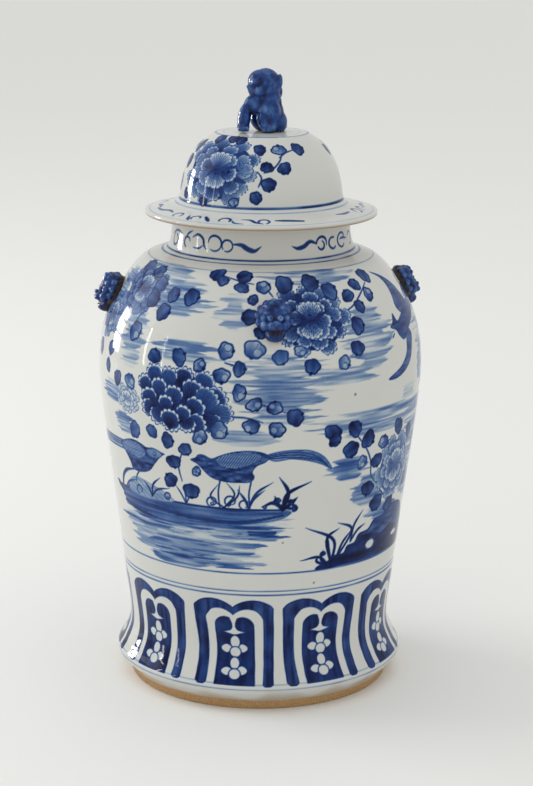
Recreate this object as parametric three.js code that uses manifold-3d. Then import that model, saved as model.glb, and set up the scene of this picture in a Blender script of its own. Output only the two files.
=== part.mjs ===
// Lidded temple jar in blue and white porcelain: a thrown baluster jar with four lion masks luted to its
// shoulder, and a domed, brimmed lid with a locating ring inside and a seated guardian lion on top.
// Millimetres, +Z up. The origin is the centre of the foot's resting face. The front mask faces -Y.
import * as THREE from 'three';
import * as BufferGeometryUtils from 'three/addons/utils/BufferGeometryUtils.js';
import Module from 'manifold-3d';

const wasm = await Module();
wasm.setup();

// ---- driving dimensions, mm ----
const GAP = 0.3;                // clearance between neighbouring pieces
const WALL = 7.5;               // thickness of the thrown jar wall
const LID_WALL = 6;             // thickness of the dome
const TURN_SIDES = 40;          // facets round a thrown piece
const BALL_SIDES = 8;           // facets round a modelled lump

const BELLY_JOIN = 230;         // height where the lower and upper sections are luted
const NECK_JOIN = 426;          // height where the neck is luted on
const RIM_TOP = 464;            // top of the neck, where the lid sits

const FOOT_RING_WIDTH = 14;     // resting face of the foot ring
const FOOT_BEVEL = 3;           // slope of the foot ring's inner face
const FOOT_RECESS = 8;          // how far the base is hollowed up
const FLOOR_TOP = 19;           // inside floor of the jar
const FLOOR_CURVE = 7;          // how far the wall rounds into the floor

// Outer line of the jar from the foot to the rim, [radius, height].
const JAR_OUTLINE = [
  [127, 0],                     // edge of the foot
  [130, 9.5],                   // end of the bare foot
  [141.5, 24],                  // widest of the flared base
  [135, 38],
  [128.8, 56],                  // waist
  [133.7, 108],
  [143.8, 190],
  [154, 270],
  [157.3, 315],                 // widest of the belly
  [154.8, 345],
  [147.6, 370],
  [136.6, 390],
  [127, 405],
  [118, 415],
  [110, 420.8],                 // end of the shoulder
  [98, 425.2],
  [91, 428.5],                  // root of the neck
  [87, 439],
  [86.5, RIM_TOP],
];

// Lid: the dome from its flat crown to its root, then the brim that slopes to a thin edge.
const CROWN_HEIGHT = 539;
const DOME_OUTLINE = [
  [44.5, 538],                  // edge of the flat crown
  [53.5, 532.2],
  [63.5, 523],
  [72.5, 507],
  [76.8, 491],
  [79.2, 475],                  // root of the dome
];
const BRIM_RADIUS = 112;
const BRIM_OUTLINE = [
  [79.2, 475],
  [85, 470.6],
  [98, 467.2],
  [BRIM_RADIUS, 463.8],
];
const BRIM_EDGE_LOW = 460.2;    // underside of the brim at its edge
const BRIM_LAND = 3;            // flat strip under the brim's edge
const SEAT_OUTER = 90;          // the flat seat runs from above the locating ring out to here
const SEAT_INNER = 68.5;
const SEAT_HEIGHT = RIM_TOP + GAP;

const RING_OUTER = 75;          // locating ring, inside the mouth
const RING_INNER = 69.5;
const RING_LOW = 441;
const RING_LEAD = 1.5;          // bevel that leads the ring into the mouth

// Lion masks on the shoulder.
const MASK_HEIGHT = 381;
const MASK_LEAN = 24;           // degrees that a mask looks up from level
const FACET = 360 / TURN_SIDES;
// Degrees round from the front. The right one is set askew.
const MASK_TURNS = { front: 0, right: 11 * FACET, back: 20 * FACET, left: -10 * FACET };
const MANE_CURLS = 6;
const MANE_RADIUS = 13.5;

// Seated lion on the crown.
const LION_X = 0;
const CUT_DEPTH = 40;           // clay cut away below the crown, to seat the lion flat

// ---- materials ----
const glaze = new THREE.MeshStandardMaterial({ color: 0xd5d9dc, roughness: 0.12, metalness: 0 });
const cobalt = new THREE.MeshStandardMaterial({ color: 0x1f3a7a, roughness: 0.15, metalness: 0 });
const bareClay = new THREE.MeshStandardMaterial({ color: 0xb9a588, roughness: 0.8, metalness: 0 });

// ---- shape helpers ----

/** Smooth line through [radius, height] points, as points. */
function smoothLine(outline, stepsPerSpan) {
  const knots = outline.map(([radius, height]) => new THREE.Vector3(radius, height, 0));
  const path = new THREE.CatmullRomCurve3(knots, false, 'centripetal');
  const points = path.getPoints(stepsPerSpan * (outline.length - 1));
  return points.map((p) => new THREE.Vector2(p.x, p.y));
}

/** Radius of a rising line at one height. */
function radiusAt(line, height) {
  const above = Math.max(1, line.findIndex((p) => p.y >= height - 1e-3));
  const low = line[above - 1];
  const high = line[above];
  return THREE.MathUtils.mapLinear(height, low.y, high.y, low.x, high.x);
}

/** The stretch of a rising line between two heights. */
function stretch(line, low, high) {
  const between = line.filter((p) => p.y > low + 0.5 && p.y < high - 0.5);
  const start = new THREE.Vector2(radiusAt(line, low), low);
  const end = new THREE.Vector2(radiusAt(line, high), high);
  return [start, ...between, end];
}

/** The line moved sideways: a positive depth goes to the left of the way it runs. */
function offsetLine(line, depth) {
  return line.map((p, i) => {
    const before = line[Math.max(0, i - 1)];
    const after = line[Math.min(line.length - 1, i + 1)];
    const along = after.clone().sub(before).normalize();
    return new THREE.Vector2(p.x - along.y * depth, p.y + along.x * depth);
  });
}

/** Solid of revolution about Z. The profile starts and ends on the axis, or closes on itself. */
function thrown(profile) {
  const points = profile.map((p) => (Array.isArray(p) ? new THREE.Vector2(p[0], p[1]) : p));
  const geometry = new THREE.LatheGeometry(points, TURN_SIDES);
  geometry.rotateX(Math.PI / 2);
  return geometry;
}

function toSolid(geometry) {
  const plain = geometry.clone();
  plain.deleteAttribute('normal');
  plain.deleteAttribute('uv');
  const merged = dropSlivers(BufferGeometryUtils.mergeVertices(plain, 1e-4));
  return new wasm.Manifold(new wasm.Mesh({
    numProp: 3,
    vertProperties: new Float32Array(merged.attributes.position.array),
    triVerts: new Uint32Array(merged.index.array),
  }));
}

/** Triangles that merging has closed up, as at the axis of a lathe, are left out. */
function dropSlivers(geometry) {
  const corners = geometry.index.array;
  const kept = [];
  for (let i = 0; i < corners.length; i += 3) {
    const [a, b, c] = [corners[i], corners[i + 1], corners[i + 2]];
    if (a !== b && b !== c && c !== a) kept.push(a, b, c);
  }
  geometry.setIndex(kept);
  return geometry;
}

function toGeometry(solid) {
  const mesh = solid.getMesh();
  const geometry = new THREE.BufferGeometry();
  geometry.setAttribute('position', new THREE.BufferAttribute(new Float32Array(mesh.vertProperties), 3));
  geometry.setIndex(new THREE.BufferAttribute(new Uint32Array(mesh.triVerts), 1));
  geometry.computeVertexNormals();
  return geometry;
}

/** An ellipsoid lump of clay, by its centre and half sizes. */
function lump(centre, halfSizes) {
  const geometry = new THREE.SphereGeometry(1, BALL_SIDES, BALL_SIDES - 3);
  geometry.scale(...halfSizes);
  geometry.translate(...centre);
  return toSolid(geometry);
}

function join(solids) {
  return solids.reduce((whole, next) => whole.add(next));
}

function bothSides(centre, halfSizes) {
  const [x, y, z] = centre;
  return [lump([x, y, z], halfSizes), lump([-x, y, z], halfSizes)];
}

const group = new THREE.Group();

function place(name, geometry, material, turn = 0) {
  const mesh = new THREE.Mesh(geometry, material);
  mesh.name = name;
  mesh.rotation.z = THREE.MathUtils.degToRad(turn);
  group.add(mesh);
}

// ---- the jar: three thrown sections ----
const jarOuter = smoothLine(JAR_OUTLINE, 2);
const jarWall = offsetLine(smoothLine(JAR_OUTLINE.slice(1), 1), WALL);
const jarInner = jarWall.filter((p) => p.y > FLOOR_TOP + FLOOR_CURVE);
const innerRim = new THREE.Vector2(JAR_OUTLINE.at(-1)[0] - WALL, RIM_TOP);
jarInner[jarInner.length - 1] = innerRim;

function lowerSection() {
  const footInner = JAR_OUTLINE[0][0] - FOOT_RING_WIDTH;
  const outside = stretch(jarOuter, 0, BELLY_JOIN);
  const inside = stretch(jarInner, jarInner[0].y, BELLY_JOIN).reverse();
  const floorEdge = inside.at(-1).x - FLOOR_CURVE;
  return thrown([
    [0, FOOT_RECESS],
    [footInner - FOOT_BEVEL, FOOT_RECESS],
    [footInner, 0],
    ...outside,
    ...inside,
    [floorEdge, FLOOR_TOP],
    [0, FLOOR_TOP],
  ]);
}

function wallSection(low, high) {
  const outside = stretch(jarOuter, low, high);
  const inside = stretch(jarInner, low, high).reverse();
  return thrown([...outside, ...inside, outside[0].clone()]);
}

place('jar_lower_section', lowerSection(), glaze);
place('jar_upper_section', wallSection(BELLY_JOIN + GAP, NECK_JOIN), glaze);
place('jar_neck', wallSection(NECK_JOIN + GAP, RIM_TOP), glaze);

// ---- the lid: dome with its brim, and the locating ring ----
function lidShell() {
  const dome = smoothLine(DOME_OUTLINE, 2);
  const brim = smoothLine(BRIM_OUTLINE, 2);
  const domeInside = offsetLine(dome, -LID_WALL).reverse();
  const crownInside = CROWN_HEIGHT - LID_WALL;
  return thrown([
    [0, CROWN_HEIGHT],
    ...dome,
    ...brim.slice(1),
    [BRIM_RADIUS, BRIM_EDGE_LOW],
    [BRIM_RADIUS - BRIM_LAND, BRIM_EDGE_LOW],
    [SEAT_OUTER, SEAT_HEIGHT],
    [SEAT_INNER, SEAT_HEIGHT],
    ...domeInside.filter((p) => p.y > SEAT_HEIGHT + LID_WALL),
    [0, crownInside],
  ].reverse());
}

function locatingRing() {
  const top = SEAT_HEIGHT - GAP;
  return thrown([
    [RING_INNER, RING_LOW],
    [RING_OUTER - RING_LEAD, RING_LOW],
    [RING_OUTER, RING_LOW + RING_LEAD],
    [RING_OUTER, top],
    [RING_INNER, top],
    [RING_INNER, RING_LOW],
  ]);
}

place('lid_shell', lidShell(), glaze);
place('lid_locating_ring', locatingRing(), bareClay);

// ---- lion masks, modelled by hand and luted to the shoulder ----

/** The mask in its own frame: X to its left ear, Y up its forehead, Z out of the wall. */
function maskLumps() {
  const curls = [];
  for (let i = 0; i < MANE_CURLS; i += 1) {
    const angle = THREE.MathUtils.degToRad(-25 + (230 * i) / (MANE_CURLS - 1));
    curls.push(lump([MANE_RADIUS * Math.cos(angle), 1 + MANE_RADIUS * Math.sin(angle), 5], [6, 6, 6]));
  }
  return join([
    lump([0, 0, 0], [18, 19, 12]),               // back of the head
    lump([0, 0, 5], [13, 14, 9]),                // face
    ...curls,
    lump([0, 9, 8], [10, 7, 7.5]),               // forehead
    ...bothSides([5.5, 4.5, 11.5], [5, 3, 4]),   // brows
    ...bothSides([4.2, 0, 12.5], [2.8, 2.8, 3]), // eyes
    ...bothSides([7.5, -6, 9], [5.5, 5, 5]),     // cheeks
    lump([0, -5.5, 11], [6, 5, 7]),              // snout
    lump([0, -3.5, 16.5], [3, 2.2, 2.6]),        // nose
    lump([0, -13.5, 6.5], [7, 3.5, 5.5]),        // chin
  ]);
}

function lionMask() {
  const wallLine = offsetLine(smoothLine(JAR_OUTLINE, 2), -GAP);
  const core = toSolid(thrown([[0, 0], ...wallLine.slice(1), [0, RIM_TOP]]));
  const outward = new THREE.Vector3(0, -1, Math.tan(THREE.MathUtils.degToRad(MASK_LEAN))).normalize();
  const right = new THREE.Vector3(1, 0, 0);
  const up = outward.clone().cross(right);
  const turn = new THREE.Matrix4().makeBasis(right, up, outward);
  turn.setPosition(0, -radiusAt(jarOuter, MASK_HEIGHT), MASK_HEIGHT);
  const head = toSolid(toGeometry(maskLumps()).applyMatrix4(turn));
  return toGeometry(head.subtract(core));
}

const maskGeometry = lionMask();
for (const [side, turn] of Object.entries(MASK_TURNS)) {
  place(`lion_mask_${side}`, maskGeometry, cobalt, turn);
}

// ---- the seated guardian lion ----
function guardianLion() {
  const x = LION_X;
  const base = CROWN_HEIGHT + GAP;
  const lion = join([
    lump([x + 4, 3, base + 12], [16, 14.5, 15]),        // haunches
    lump([x + 5, 1, base + 24], [13, 13, 24]),          // chest and back
    lump([x + 3.5, 0, base + 43.3], [15, 14.5, 17.2]),  // head and mane
    lump([x - 7, -5, base + 40], [8, 8, 9]),            // muzzle, to the left
    lump([x - 17.5, -7, base + 12.5], [7, 8, 15]),      // right foreleg
    lump([x - 10, -5, base + 26], [8, 8.5, 10]),        // right shoulder
    lump([x + 4.5, -10, base + 14], [10.5, 8.5, 17]),   // left foreleg
    lump([x + 15, -2, base + 7], [9.5, 11, 9.5]),       // left haunch
    lump([x + 18.5, 6, base + 5], [7, 8, 7]),           // tail
  ]);
  const below = new THREE.BoxGeometry(100, 100, CUT_DEPTH).translate(0, 0, base - CUT_DEPTH / 2);
  return toGeometry(lion.subtract(toSolid(below)));
}

place('finial_lion', guardianLion(), cobalt);

export default group;
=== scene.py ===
import math

import bmesh
import bpy
import numpy as np
from mathutils import Matrix, Vector


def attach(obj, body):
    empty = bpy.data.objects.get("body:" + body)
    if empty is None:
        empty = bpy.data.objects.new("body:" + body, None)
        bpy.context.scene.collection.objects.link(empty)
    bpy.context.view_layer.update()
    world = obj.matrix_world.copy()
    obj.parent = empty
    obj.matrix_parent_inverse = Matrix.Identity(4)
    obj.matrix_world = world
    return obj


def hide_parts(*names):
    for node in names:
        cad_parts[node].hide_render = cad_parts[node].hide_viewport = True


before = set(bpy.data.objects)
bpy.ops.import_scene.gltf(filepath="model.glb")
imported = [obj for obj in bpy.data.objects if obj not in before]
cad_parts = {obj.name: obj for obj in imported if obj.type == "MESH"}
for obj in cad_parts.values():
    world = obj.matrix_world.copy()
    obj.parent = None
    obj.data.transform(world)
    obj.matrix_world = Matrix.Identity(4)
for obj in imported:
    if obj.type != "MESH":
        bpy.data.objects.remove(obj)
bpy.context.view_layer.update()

MM = 0.001

# ---- painting: the grid that it is laid on ----

# Outlines, [radius, height] in metres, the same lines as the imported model's.
JAR_OUTLINE = [
    (0.1270, 0.0), (0.1300, 0.0095), (0.1415, 0.024), (0.1350, 0.038), (0.1288, 0.056), (0.1337, 0.108),
    (0.1438, 0.190), (0.1540, 0.270), (0.1573, 0.315), (0.1548, 0.345), (0.1476, 0.370), (0.1366, 0.390),
    (0.1270, 0.405), (0.1180, 0.415), (0.1100, 0.4208), (0.0980, 0.4252), (0.0910, 0.4285),
    (0.0870, 0.439), (0.0865, 0.464),
]
BARE_FOOT_HEIGHT = 0.0095
BRIM_EDGE = [(0.1120, 0.4602), (0.1120, 0.4638)]
BRIM_OUTLINE = [(0.1120, 0.4638), (0.0980, 0.4672), (0.0850, 0.4706), (0.0792, 0.475)]
DOME_OUTLINE = [
    (0.0792, 0.475), (0.0768, 0.491), (0.0725, 0.507), (0.0635, 0.523), (0.0535, 0.5322), (0.0445, 0.538),
]
CROWN_HEIGHT = 0.539

ROW_STEP = 0.9  # mm between rows of the painted skin
FINE_STEP = 0.33  # degrees between columns where the front and sides face the viewer
COARSE_STEP = 0.50  # degrees between columns at the back
FINE_FROM, FINE_TO = -97.0, 97.0


def smooth_line(knots, steps=24):
    """Centripetal Catmull-Rom line through the knots."""
    knots = np.array(knots, float)
    ends = [2 * knots[0] - knots[1]], [2 * knots[-1] - knots[-2]]
    run = np.vstack([ends[0], knots, ends[1]])
    t = np.linspace(0, 1, steps, endpoint=False)[:, None]
    pieces = []
    for p0, p1, p2, p3 in zip(run, run[1:], run[2:], run[3:]):
        d0, d1, d2 = (np.linalg.norm(b - a) ** 0.5 for a, b in ((p0, p1), (p1, p2), (p2, p3)))
        start = d1 * ((p1 - p0) / d0 - (p2 - p0) / (d0 + d1) + (p2 - p1) / d1)
        end = d1 * ((p2 - p1) / d1 - (p3 - p1) / (d1 + d2) + (p3 - p2) / d2)
        c2 = 3 * (p2 - p1) - 2 * start - end
        c3 = 2 * (p1 - p2) + start + end
        pieces.append(p1 + start * t + c2 * t**2 + c3 * t**3)
    return np.vstack(pieces + [knots[-1:]])


def lengths(line):
    return np.r_[0, np.cumsum(np.linalg.norm(np.diff(line, axis=0), axis=1))]


def even_rows(line, step=ROW_STEP * MM):
    """The line again, with points an even step apart."""
    along = lengths(line)
    wanted = np.linspace(0, along[-1], int(round(along[-1] / step)) + 1)
    return np.stack([np.interp(wanted, along, line[:, i]) for i in (0, 1)], axis=1)


def column_angles(coarser=1.0):
    fine = np.arange(FINE_FROM, FINE_TO, FINE_STEP * coarser)
    coarse = np.arange(FINE_TO, FINE_FROM + 360, COARSE_STEP * coarser)
    return np.r_[fine, coarse]


def soft(edge, width=0.9):
    """1 inside a shape and 0 outside it, by signed distance in mm."""
    return np.clip(0.5 - edge / width, 0, 1)


def rotate(x, y, turn):
    """Coordinates seen by a motif whose top points turn degrees clockwise from straight up."""
    c, s = math.cos(math.radians(turn)), math.sin(math.radians(turn))
    return x * c - y * s, y * c + x * s


class Canvas:
    """Cobalt laid on the grid of a turned wall. ink is 0 for bare glaze and 1 for the darkest blue."""

    def __init__(self, rows, angles, seed):
        self.angles = angles
        self.radii = rows[:, 0] / MM
        self.up = lengths(rows) / MM
        self.ink = np.zeros((len(rows), len(angles)))
        self.rng = np.random.default_rng(seed)
        self.turned = 0

    def around(self, at):
        """Degrees from a place, with the pot turned by self.turned to paint its other side."""
        return (self.angles - at - self.turned + 180) % 360 - 180

    def local(self, points):
        """The middle of points in degrees and mm up, the points in mm from there, and their reach."""
        points = np.array(points, float)
        at, up = (points.min(axis=0) + points.max(axis=0)) / 2
        radius = np.interp(points[:, 1], self.up, self.radii)
        knots = np.stack([np.radians(points[:, 0] - at) * radius, points[:, 1] - up], axis=1)
        return at, up, knots, np.abs(knots).max()

    def patch(self, at, up, reach):
        """Where a motif falls: its rows and columns, and mm right and up from its centre."""
        rows = np.nonzero(np.abs(self.up - up) < reach)[0]
        around = self.around(at)
        widest = max(self.radii[rows].min() if len(rows) else 1, 20)
        cols = np.nonzero(np.abs(around) < math.degrees(reach / widest))[0]
        where = np.ix_(rows, cols)
        x = np.radians(around[cols])[None, :] * self.radii[rows][:, None]
        y = (self.up[rows] - up)[:, None] + 0 * x
        return where, x, y

    def cover(self, where, mask, tone):
        """Opaque: what was there is hidden by as much as the mask says."""
        self.ink[where] += (tone - self.ink[where]) * mask

    def darken(self, where, ink):
        self.ink[where] = np.maximum(self.ink[where], ink)

    def noise(self, across, up, seed):
        """Smooth noise from 0 to 1 with cells so many degrees by so many mm."""
        rng = np.random.default_rng(seed)
        n_across = max(4, int(round(360 / across)))
        n_up = int(self.up[-1] / up) + 3
        grid = rng.random((n_up, n_across))
        a = (self.angles % 360) / 360 * n_across
        b = self.up / up
        a0, b0 = np.floor(a).astype(int), np.floor(b).astype(int)
        fa, fb = a - a0, (b - b0)[:, None]
        fa, fb = fa * fa * (3 - 2 * fa), fb * fb * (3 - 2 * fb)
        a1 = (a0 + 1) % n_across
        a0 %= n_across
        low = grid[np.ix_(b0, a0)] * (1 - fa) + grid[np.ix_(b0, a1)] * fa
        high = grid[np.ix_(b0 + 1, a0)] * (1 - fa) + grid[np.ix_(b0 + 1, a1)] * fa
        return low * (1 - fb) + high * fb


# ---- painting: strokes ----

def nearest_on(line, x, y):
    """Distance from each grid point to a line, and how far along the line that is, from 0 to 1."""
    nearest = np.full(x.shape, 1e9)
    share = np.zeros(x.shape)
    for i, (a, b) in enumerate(zip(line, line[1:])):
        run = b - a
        t = np.clip(((x - a[0]) * run[0] + (y - a[1]) * run[1]) / max(run @ run, 1e-9), 0, 1)
        away = np.hypot(x - a[0] - t * run[0], y - a[1] - t * run[1])
        closer = away < nearest
        nearest = np.where(closer, away, nearest)
        share = np.where(closer, (i + t) / (len(line) - 1), share)
    return nearest, share


def stroke(canvas, points, width, tone=0.9, ends=(0.3, 0.3)):
    """A brush stroke through points in degrees and mm up. ends: its first and last share of the width."""
    at, up, knots, reach = canvas.local(points)
    line = smooth_line(knots, 6)
    where, x, y = canvas.patch(at, up, reach + 2 * width)
    nearest, share = nearest_on(line, x, y)
    half = width / 2 * np.interp(share, [0, 0.35, 0.65, 1], [ends[0], 1, 1, ends[1]])
    canvas.darken(where, tone * soft(nearest - half))


def curl(canvas, at, up, radius, start, sweep, width=1.7, tone=0.8, wind=0.0):
    """A round stroke: radius in mm, start and sweep in degrees clockwise from the top."""
    across = np.interp(up, canvas.up, canvas.radii)
    points = []
    for i in range(9):
        way = math.radians(start + sweep * i / 8)
        r = radius * (1 - wind * i / 8)
        points.append((at + math.degrees(r * math.sin(way) / across), up + r * math.cos(way)))
    stroke(canvas, points, width, tone, ends=(0.75, 0.5))


def brush(canvas, strokes, curls=()):
    """Many strokes and many curls, each written the way that stroke() and curl() take it."""
    for each in strokes:
        stroke(canvas, *each)
    for each in curls:
        curl(canvas, *each)


def shape(canvas, points, tone, rim=0.9, brush=0.25, seed=1, grain=(5, 2.2)):
    """A filled outline in degrees and mm up: brushed inside, with a darker rim. Gives its patch."""
    at, up, knots, reach = canvas.local(points)
    loop = np.vstack([knots[-2:], knots, knots[:2]])
    line = smooth_line(loop, 6)[12:6 * (len(knots) + 2) + 1]
    where, x, y = canvas.patch(at, up, reach + 4)
    nearest, _ = nearest_on(line, x, y)
    inside = np.zeros(x.shape, bool)
    for a, b in zip(line, line[1:]):
        if a[1] == b[1]:
            continue
        crosses = (a[1] > y) != (b[1] > y)
        inside ^= crosses & (x < a[0] + (y - a[1]) * (b[0] - a[0]) / (b[1] - a[1]))
    edge = np.where(inside, -nearest, nearest)
    streaks = canvas.noise(grain[0], grain[1], seed)[where]
    canvas.cover(where, soft(edge), tone * (1 + brush * (streaks - 0.5) * 2))
    canvas.darken(where, rim * soft(np.abs(edge + 0.4) - 0.5))
    return where, edge, x, y


def hatched(canvas, points, filling, way, gap, tone, width=0.8):
    """A filled outline with parallel brush lines inside; way is their direction, clockwise from up."""
    where, edge, x, y = shape(canvas, points, *filling)
    across, _ = rotate(x, y, way)
    away = np.abs((across + 1000 * gap) % gap - gap / 2)
    canvas.darken(where, tone * soft(away - width / 2, 0.7) * soft(edge + 1))


def ring_lines(canvas, lines, seed):
    """Lines run round the pot on the wheel, a little uneven in weight: mm up, width, tone."""
    for i, (up, width, tone) in enumerate(lines):
        weight = 0.75 + 0.5 * canvas.noise(9, 60, seed + i)[0]
        away = np.abs(canvas.up - up)[:, None] + 0 * canvas.ink
        canvas.ink[:] = np.maximum(canvas.ink, tone * weight * soft(away - width / 2, 1.0))


def wash(canvas, at, up, half_width, height, tone, seed):
    """Flat brush dragged sideways: streaks with ragged ends, half_width in degrees."""
    around = canvas.around(at)
    rows = np.nonzero(np.abs(canvas.up - up) < height)[0]
    cols = np.nonzero(np.abs(around) < half_width * 1.5)[0]
    where = np.ix_(rows, cols)
    rng = np.random.default_rng(seed)
    level = (canvas.up[rows] - up)[:, None]
    fine = canvas.noise(9, 1.5, seed)[where]
    broad = canvas.noise(30, 4.5, seed + 1)[where]
    ends = canvas.noise(360, 2.2, seed + 2)[where]
    bow = rng.uniform(-0.15, 0.15) * height * (around[cols] / half_width) ** 2
    body = 1 - (np.abs(level + bow) / (height * 0.95)) ** 2
    reach = half_width * (0.65 + 0.8 * (ends - 0.5)) * np.clip(body, 0, 1) ** 0.35
    lengthwise = np.clip((reach - np.abs(around[cols])) / (0.10 * half_width) + 0.5, 0, 1)
    streaks = np.clip(0.25 + 1.15 * fine + 1.0 * (broad - 0.5), 0, 1.3)
    canvas.darken(where, tone * streaks * lengthwise * np.clip(body * 3, 0, 1))


# ---- painting: flowers and leaves ----

# Lobes of a leaf one unit long: across, up, radius.
LOBES = [
    (-0.44, -0.14, 0.50), (0.44, -0.14, 0.50), (-0.27, 0.34, 0.46), (0.27, 0.34, 0.46),
    (0.0, -0.34, 0.50),
]
LOBE_BLEND = 0.05  # how far the joins between lobes are rounded, on the same scale


def leaf(canvas, at, up, size, turn, tone, open_middle=False):
    """A leaf of five round lobes, darker to one side. turn: the way its tip points, clockwise from up."""
    where, x, y = canvas.patch(at, up, size * 1.7)
    x, y = rotate(x, y, turn)
    rng = canvas.rng
    x, y = x / size, y / (size * rng.uniform(0.84, 0.98))
    lobes = []
    for across, rise, radius in LOBES:
        lobes.append(np.hypot(x - across, y - rise) - radius * rng.uniform(0.86, 1.10))
    tip = np.hypot(x, y - 0.82) - 0.14
    edge = -LOBE_BLEND * np.log(sum(np.exp(-lobe / LOBE_BLEND) for lobe in lobes + [tip])) * size
    side = math.radians(rng.uniform(0, 360))
    shade = np.clip(0.5 + (x * math.cos(side) + y * math.sin(side)) * 0.6, 0, 1)
    brush = 0.07 * np.sin(7 * (x * math.sin(side) - y * math.cos(side)) + rng.uniform(0, 6))
    low = 0.26 if open_middle else 0.66
    fill = tone * (low + (1.04 - low) * shade + brush)
    canvas.cover(where, soft(edge), np.clip(fill, 0, 1))
    canvas.darken(where, min(1, tone + 0.20) * soft(np.abs(edge + 0.6) - 0.75))
    folds = np.minimum(np.abs(lobes[0]), np.abs(lobes[1])) * size
    canvas.darken(where, (0.45 * tone + 0.45) * soft(folds - 0.3) * soft(edge + size * 0.16) * (y > 0.05))
    vein = np.abs(x - 0.10 * np.sin(3 * y)) * size - 0.35
    canvas.darken(where, (0.40 * tone + 0.50) * soft(vein) * soft(edge + size * 0.25) * (y < 0.5))
    if open_middle:
        fold = rng.choice((-1, 1)) * 0.34
        ring = (np.hypot(x - fold, y - 0.20) - 0.40) * size
        canvas.cover(where, 0.7 * soft(ring + 0.8) * soft(edge + size * 0.12), tone * 0.22)
        canvas.darken(where, (0.25 + 0.6 * tone) * soft(np.abs(ring) - 0.5) * soft(edge + size * 0.05))


def petal(canvas, at, up, base, size, spread, turn, tone, tip, squash=1.0, bumps=5, ribbed=0.4):
    """A fan petal with pale bumps at its edge. base is its foot in mm from the flower's place."""
    where, x, y = canvas.patch(at, up, np.hypot(*base) + size * 1.3)
    x, y = rotate(x - base[0], y / squash - base[1], turn)
    angle = np.arctan2(x, y) / math.radians(spread)
    wave = np.abs(np.cos(np.pi * angle * bumps / 2)) ** 0.6
    side = np.clip(np.abs(angle), 0, 1)
    reach = size * (0.88 + 0.12 * wave) * (1 - 0.26 * side**3)
    distance = np.hypot(x, y)
    edge = np.maximum(distance - reach, (np.abs(angle) - 1) * distance * math.radians(spread))
    t = np.clip(distance / reach, 0, 1.2)
    ribs = soft(np.abs(np.cos(np.pi * angle * bumps)) - 0.36, 0.3) * (t > 0.15) * (t < 1.08 - 2.6 / size)
    fill = tone * (1.18 - (0.34 + 0.72 * ribbed) * t) + 0.62 * ribbed * tone * ribs
    rim_at = 1 - (1.6 + 2.2 * wave) / size
    rim = np.clip((t - rim_at) / (0.05 + 0.10 * ribbed), 0, 1)
    fill = fill * (1 - rim) + (tip + 0.55 * tone * (wave < 0.32)) * rim
    canvas.cover(where, soft(edge), np.clip(fill, 0, 1))
    canvas.darken(where, (0.35 + 0.6 * tone) * soft(np.abs(edge - 0.3) - 0.5))


# Rings of an open flower, outside first: petals, how far out their feet are, length, spread.
PETAL_RINGS = [(11, 0.46, 0.53, 29), (9, 0.30, 0.48, 33), (6, 0.13, 0.42, 42)]
HEART_PETALS = [(182, -0.02, 0.48), (2, 0.0, 0.52)]  # turn, how far up the foot is, length


def open_peony(canvas, at, up, size, tone, tip, squash):
    """A full flower seen from the front: rings of ribbed petals, then two cupped ones at the heart."""
    rng = canvas.rng
    where, x, y = canvas.patch(at, up, size * 1.1)
    canvas.cover(where, soft(np.hypot(x, y / squash) - size * 0.78), tone)
    for count, out, long, spread in PETAL_RINGS:
        first = rng.uniform(0, 360 / count)
        for i in range(count):
            way = first + 360 * i / count + rng.uniform(-9, 9)
            a = math.radians(way)
            foot = (size * out * math.sin(a), size * out * math.cos(a))
            shade = tone * rng.uniform(0.78, 1.12)
            length = size * long * rng.uniform(0.86, 1.10)
            bumps = rng.integers(4, 6)
            petal(canvas, at, up, foot, length, spread, way, shade, tip + 0.2 * out, squash, bumps, 0.55)
    for way, lift, long in HEART_PETALS:
        foot = (0, size * lift)
        petal(canvas, at, up, foot, size * long, 48, way, tone * 0.90, tip * 0.3, squash, 6, 1.0)
    canvas.darken(where, min(1, tone + 0.1) * soft(np.hypot(x / 5, (y / squash + size * 0.01)) - 1.1))


# Petals of a flower seen from its side, back ones first: where the tip is across and up, length, spread,
# turn, bumps. Lengths are in mm on a flower of this half width.
TIERS_HALF_WIDTH = 52
TIERS = [
    (30, 27, 26, 32, 22, 5), (47, 9, 30, 30, 56, 5), (8, 30, 24, 32, 10, 5), (-9, 28, 25, 30, 2, 5),
    (-27, 29, 24, 32, -8, 5), (18, 19, 26, 34, 16, 5), (36, 11, 32, 31, 38, 6), (54, -9, 34, 22, 80, 4),
    (-41, 17, 22, 30, -24, 4), (-21, 17, 22, 33, -3, 5), (44, -24, 32, 24, 108, 5),
    (-35, 6, 24, 34, -14, 4), (-3, 12, 24, 34, 6, 5), (24, 1, 24, 34, 40, 4), (28, -19, 27, 30, 70, 5),
    (-42, -12, 26, 26, -82, 4), (-30, -25, 24, 30, -132, 4), (12, -31, 22, 32, 160, 5),
    (-8, -33, 20, 42, 182, 5), (-13, 2, 21, 32, 0, 4), (9, -6, 20, 32, 24, 4), (-9, -11, 20, 46, 2, 6),
]


def side_peony(canvas, at, up, size, tone, tip, squash):
    """A full flower seen from its side: tiers of petals that mostly point up."""
    rng = canvas.rng
    scale = size / TIERS_HALF_WIDTH
    where, x, y = canvas.patch(at, up, size * 1.1)
    canvas.cover(where, soft(np.hypot(x, (y - 1) / 0.60) - size * 0.74), tone * 0.95)
    for tip_x, tip_y, length, spread, turn, bumps in TIERS:
        way = math.radians(turn)
        foot = (scale * (tip_x - length * math.sin(way)), scale * (tip_y - length * math.cos(way)))
        shade = min(1, tone * rng.uniform(0.86, 1.10))
        petal(canvas, at, up, foot, length * scale, spread, turn, shade, tip, squash, bumps, 0.22)


def spray(canvas, leaves, open_middle=False):
    for each in leaves:
        leaf(canvas, *each, open_middle)


def stems(canvas, lines):
    for points in lines:
        stroke(canvas, points, 1.5, 0.85, (0.8, 0.6))


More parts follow.
